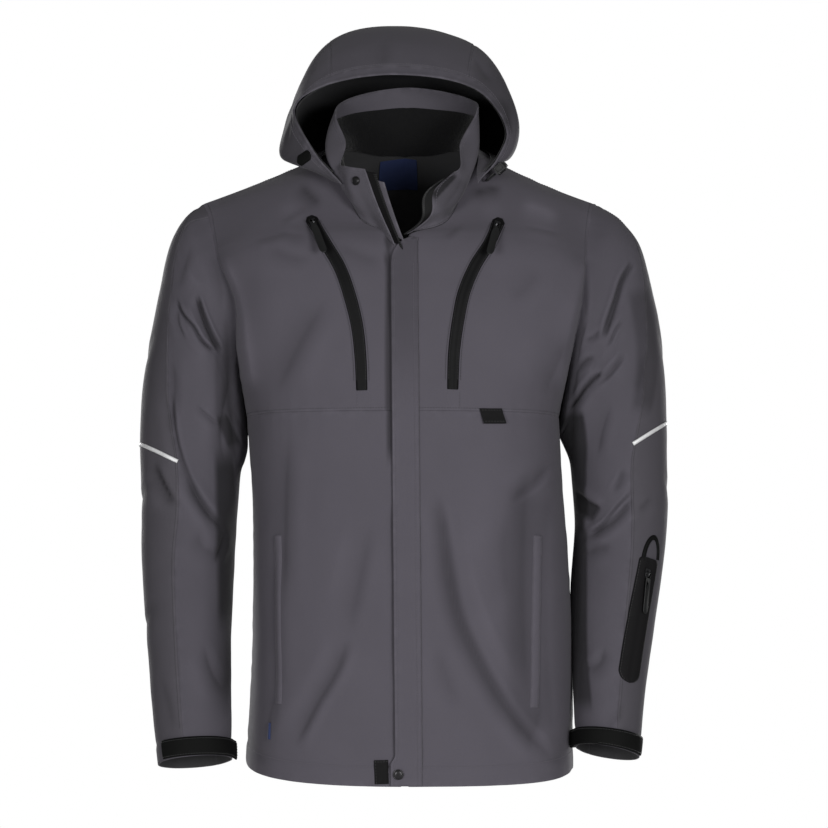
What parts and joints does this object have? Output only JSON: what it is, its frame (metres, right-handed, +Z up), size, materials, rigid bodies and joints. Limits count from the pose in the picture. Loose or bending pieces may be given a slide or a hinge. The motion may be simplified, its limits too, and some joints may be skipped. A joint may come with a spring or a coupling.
{
  "type": "outdoor jacket",
  "caption": "Hooded outdoor jacket with a stand collar undone at the neck, a flap over the front zip, slanted chest zips, strapped cuffs and a zipped sleeve pocket.",
  "frame": {"origin": "in the middle of the neck opening, where a wearer or a stand's neck holds the jacket", "axes": "+Z up along the wearer's spine, -Y out of the front, +X to the wearer's left"},
  "size_m": [0.6637, 0.3589, 0.9417],
  "materials": {
    "shell": "matt woven shell cloth",
    "black_trim": "matt black webbing and coated cloth",
    "lining": "black fleece and mesh lining",
    "zip_tape": "coated black zip tape with moulded teeth",
    "moulded": "black moulded plastic",
    "reflective": "silver reflective tape",
    "snap": "dark plated snap fastener",
    "label": "plain woven label"
  },
  "bodies": {
    "garment": {"back": "shell", "yoke_right": "shell", "yoke_left": "shell", "lower_front_right": "shell", "lower_front_left": "shell", "sleeve_front_right": "shell", "sleeve_front_left": "shell", "sleeve_back_right": "shell", "sleeve_back_left": "shell", "storm_flap": "shell", "pocket_welt_right": "shell", "pocket_welt_left": "shell", "collar": "shell", "zip_guard": "shell", "hood_side_right": "shell", "hood_crown": "shell", "hood_side_left": "shell", "hood_brim": "shell", "cuff_strap_right": "black_trim", "cuff_strap_left": "black_trim", "sleeve_pocket": "black_trim", "sleeve_pocket_arch": "black_trim", "chest_loop": "black_trim", "hem_tab": "black_trim", "hood_cord_patch": "black_trim", "hood_cord": "black_trim", "collar_facing": "lining", "hood_lining": "lining", "front_zip": "zip_tape", "chest_zip_right": "zip_tape", "chest_zip_left": "zip_tape", "neck_zip_right": "zip_tape", "neck_zip_left": "zip_tape", "chest_slider_right": "moulded", "chest_slider_left": "moulded", "sleeve_zip_slider": "moulded", "hood_cord_lock": "moulded", "reflector_right": "reflective", "reflector_left": "reflective", "hem_snap": "snap", "collar_snap": "snap", "neck_label": "label", "side_tag": "label"},
    "chest_pull_right_tab": {"chest_pull_right": "moulded"},
    "chest_pull_left_tab": {"chest_pull_left": "moulded"},
    "sleeve_zip_pull_tab": {"sleeve_zip_pull": "moulded"}
  },
  "joints": [
    {"name": "chest_pull_right_hinge", "type": "hinge", "parent": "garment", "child": "chest_pull_right_tab", "pos_m": [-0.11289, -0.09079, -0.05853], "axis": [-0.9749, -0.015, -0.222], "range_deg": [0, 165]},
    {"name": "chest_pull_left_hinge", "type": "hinge", "parent": "garment", "child": "chest_pull_left_tab", "pos_m": [0.11328, -0.09294, -0.06179], "axis": [-0.9794, -0.0361, 0.1989], "range_deg": [0, 165]},
    {"name": "sleeve_zip_pull_hinge", "type": "hinge", "parent": "garment", "child": "sleeve_zip_pull_tab", "pos_m": [0.30085, -0.05629, -0.49163], "axis": [-0.7679, -0.6187, 0.166], "range_deg": [0, 165]}
  ]
}
